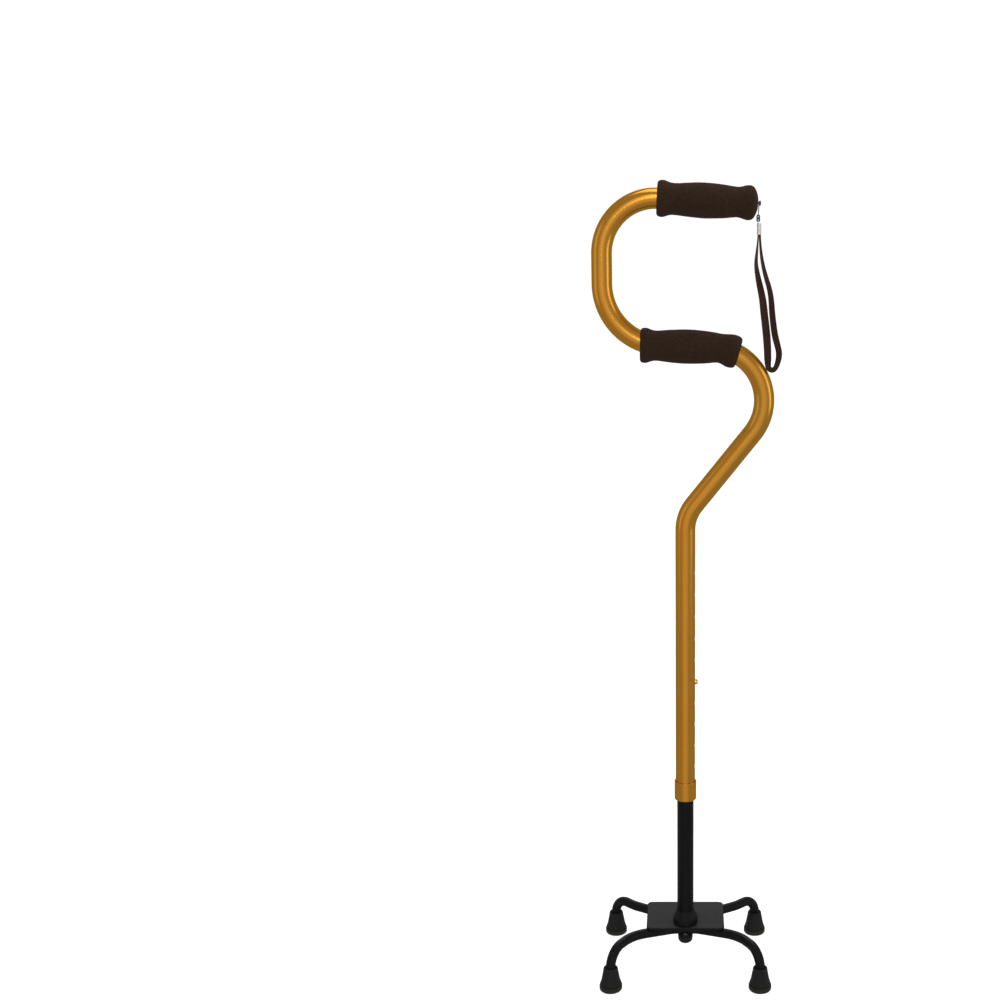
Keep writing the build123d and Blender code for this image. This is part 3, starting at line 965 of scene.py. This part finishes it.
def snap_button():
    """Round-nosed button with a dimple from its drawing die."""
    axis = Axis([(0, 0, button_z), (1, 0, button_z)])
    outline = rounded(
        millimetres([
            (5.8, 0), (5.8, 3.9, 0.3), (6.8, 3.9, 0.3), (6.8, 3.1, 0.2), (12.6, 3.1, 1.4), (14.15, 1.9, 1.0),
            (14.1, 1.0, 0.5), (13.75, 0),
        ]),
        closed=False, steps=8,
    )
    return turned(
        "snap_button_nose", axis, outline, "button", "button_brass", ["snap_button"], 48, closed=False
    )


# ------------------------------------------------------------------ base
def base_plate():
    """Satin black plate with soft edges."""
    low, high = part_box("base_plate")
    corners = [(low.x, low.y), (high.x, low.y), (high.x, high.y), (low.x, high.y)]
    rim = rounded([(x, y, 7 * MM) for x, y in corners], True, 12)
    lift = Matrix.Translation((0, 0, (low.z + high.z) / 2))
    piece = flat_plate("foot_plate", [rim, circle(4.2 * MM)], high.z - low.z, 0.7 * MM, lift)
    return dress(piece, "base", "black_powder_coat", ["base_plate"], sharp=40)


def hub():
    """Cast socket with a rounded shoulder that carries the inner tube."""
    low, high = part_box("hub")
    plate_z, top_z, wide = low.z, high.z, high.x
    outline = rounded(
        [
            (plate_z, 4.3 * MM), (plate_z, wide - 1.2 * MM, 0.5 * MM), (plate_z + 2.6 * MM, wide, 2.0 * MM),
            (plate_z + 7.6 * MM, wide, 5.0 * MM), (plate_z + 13.2 * MM, 12.0 * MM, 4.0 * MM),
            (plate_z + 15.6 * MM, 10.8 * MM, 1.2 * MM), (top_z, 10.6 * MM, 0.4 * MM),
            (top_z, 9.56 * MM, 0.3 * MM), (plate_z + 3.4 * MM, 9.56 * MM), (plate_z + 3.4 * MM, 4.3 * MM),
        ],
        steps=8,
    )
    return turned("tube_hub", upright(), outline, "base", "black_powder_coat", ["hub"], 96)


def nut_cap():
    """Domed plastic cap, open at the top for the nut."""
    outline = rounded(
        millimetres([
            (29.6, 0), (29.75, 2.6, 1.0), (29.9, 4.4, 0.6), (31.1, 5.2, 0.4), (31.2, 6.6, 0.6),
            (33.4, 8.3, 1.2), (36.0, 8.6, 1.0), (38.75, 8.6, 0.4), (38.75, 7.6, 0.2), (33.2, 7.6), (33.2, 0),
        ]),
        closed=False, steps=6,
    )
    return turned("domed_cap", upright(), outline, "base", "black_plastic", ["nut_cap"], 72, closed=False)


leg_radius = 5.55 * MM
leg_axis_z = 46.0 * MM
feet_half_x = 85.5 * MM
feet_half_y = 66.0 * MM
feet_centre_y = 13.5 * MM
leg_end_z = 8.0 * MM


def leg_tube(side, name, node):
    """One bent tube that makes both legs of a side."""
    foot_y = feet_centre_y + side * feet_half_y
    middle_y, share = (0.0, 0.30) if side < 0 else (30.0 * MM, 0.55)    # share: shoulder to foot, in y
    half = [
        (feet_half_x, foot_y, leg_end_z), (feet_half_x, foot_y, leg_axis_z),
        (62.0 * MM, middle_y + share * (foot_y - middle_y), leg_axis_z),
        (14.0 * MM, middle_y, leg_axis_z),
    ]
    other = [(-x, y, z) for x, y, z in reversed(half)]
    bends = [20 * MM, 45 * MM, 30 * MM]
    axis = Axis(half + other, bends=bends + bends[::-1])
    points, faces = round_solid(axis, tube_outline(axis.length, leg_radius, 4.05 * MM, 1.5 * MM), 48)
    piece = add_mesh(name, points, faces)
    return dress(piece, "base", "black_powder_coat", [node], sharp=40)


def foot_tip(place, x, y):
    """Rubber tip: ringed tread, flange, groove, tapered body and a rolled top rim."""
    outline = rounded(
        millimetres([
            (0.9, 0), (0.9, 2.6, 0.3), (0.0, 3.2, 0.3), (0.0, 5.2, 0.3), (0.9, 5.7, 0.3), (0.9, 6.8, 0.3),
            (0.0, 7.3, 0.3), (0.0, 9.0, 0.3), (0.9, 9.5, 0.3), (0.9, 10.3, 0.2), (0.0, 10.8, 0.3),
            (0.0, 12.1, 0.6), (1.4, 13.0, 0.9), (5.6, 13.0, 0.5), (6.1, 12.6, 0.2), (6.3, 11.4, 0.2),
            (7.4, 11.4, 0.2), (7.6, 12.2, 0.4), (8.6, 11.9, 0.8), (11.6, 10.8, 2.0), (22.8, 8.65, 1.0),
            (25.8, 8.3, 0.8), (27.0, 7.5, 0.8), (27.0, 6.2, 0.5), (26.4, 5.62, 0.3), (8.05, 5.62),
            (8.05, 7.65), (6.4, 7.65), (6.4, 0),
        ]),
        closed=False, steps=4,
    )
    name = f"rubber_tip_{place}"
    return turned(name, upright(x, y), outline, "base", "tip_rubber", [f"foot_tip_{place}"], 72, closed=False)


def add_feet():
    for row, side_y in (("front", -1), ("back", 1)):
        for hand, side_x in (("left", -1), ("right", 1)):
            foot_tip(f"{row}_{hand}", side_x * feet_half_x, feet_centre_y + side_y * feet_half_y)


def finish_cad_nodes():
    """Inner pieces keep their CAD shapes and get a real finish."""
    for nodes in frame["record"]["behaviour"]["bodies"].values():
        for name in nodes:
            node = frame["nodes"][name]
            slot = node.data.materials[0].name.split(".")[0]
            node.data.materials.clear()
            node.data.materials.append(finishes[slot])


# ------------------------------------------------------------------ stage and light
def add_stage():
    """Pale floor and a white surround that only the camera sees."""
    look = Finish("studio_floor", Specular_IOR_Level=0.0, Emission_Color=(1, 1, 1, 1), Emission_Strength=0.72)
    speckle = look.noise(30.0, detail=3.0)
    look.colour(look.mix(look.span(speckle, 0.3, 0.7), (0.90, 0.90, 0.90, 1), (0.93, 0.93, 0.93, 1)))
    look.roughness(look.span(speckle, 0.3, 0.7, 0.75, 0.85))
    half = 9.0
    corners = [(-half, -half, 0), (half, -half, 0), (half, half, 0), (-half, half, 0)]
    floor = add_mesh("studio_floor", corners, [(0, 1, 2, 3)])
    floor.data.materials.append(look.material)
    white = Finish(
        "studio_surround", Base_Color=(0, 0, 0, 1), Emission_Color=(1, 1, 1, 1), Emission_Strength=1.0
    )
    axis = Axis([(0, 0, -half), (0, 0, 2 * half)])
    outline = [(0, 0), (0, 2 * half), (3 * half, 2 * half), (3 * half, 0)]
    points, faces = round_solid(axis, outline, 64, closed=False)
    surround = add_mesh("studio_surround", points, faces)
    surround.data.materials.append(white.material)
    for backdrop in (floor, surround):
        backdrop.visible_glossy = False
        backdrop.visible_diffuse = False
        backdrop.visible_transmission = False
    surround.visible_shadow = False

    # The studio's walls: pale all round, and brighter in front of the cane.
    world = bpy.data.worlds.new("studio")
    world.use_nodes = True
    tree = world.node_tree
    background = tree.nodes["Background"]
    background.inputs["Color"].default_value = (1.0, 1.0, 1.0, 1)
    direction = tree.nodes.new("ShaderNodeTexCoord")
    split = tree.nodes.new("ShaderNodeSeparateXYZ")
    tree.links.new(direction.outputs["Generated"], split.inputs["Vector"])
    front = tree.nodes.new("ShaderNodeMapRange")
    front.interpolation_type = "SMOOTHSTEP"
    for socket, value in (("From Min", -0.70), ("From Max", -0.96), ("To Min", 0.42), ("To Max", 0.72)):
        front.inputs[socket].default_value = value
    tree.links.new(split.outputs["Y"], front.inputs["Value"])
    tree.links.new(front.outputs["Result"], background.inputs["Strength"])
    bpy.context.scene.world = world


def add_softbox(name, place, target, size, power):
    data = bpy.data.lights.new(name, "AREA")
    data.shape = "RECTANGLE"
    data.size, data.size_y = size
    data.energy = power
    light = bpy.data.objects.new(name, data)
    light.location = place
    light.rotation_euler = (Vector(target) - Vector(place)).to_track_quat("-Z", "Y").to_euler()
    bpy.context.scene.collection.objects.link(light)


def add_lights():
    middle = (0, 0, 0.45)
    add_softbox("front", (0.0, -2.3, 1.7), middle, (0.5, 1.6), 7)
    add_softbox("right", (2.2, -0.7, 0.9), middle, (0.9, 1.8), 7)
    add_softbox("left", (-2.2, -0.6, 0.9), middle, (0.9, 1.8), 2.5)
    add_softbox("overhead", (0.1, 0.2, 2.6), (0, 0.1, 0), (1.4, 1.2), 10)


# ------------------------------------------------------------------ build
bpy.context.scene.view_settings.view_transform = "Standard"
add_camera()
tether = tether_cord()
webbing, webbing_line = wrist_webbing()
link = strap_link()
sleeve = crimp_sleeve()
staple = crimp_staple()
handle_tube()
inner_tube()
upper_grip()
lower_grip()
strap_rivet()
lock_collar()
snap_button()
base_plate()
hub()
nut_cap()
leg_tube(-1, "front_legs", "front_leg_tube")
leg_tube(1, "back_legs", "back_leg_tube")
add_feet()
finish_cad_nodes()
add_stage()
add_lights()
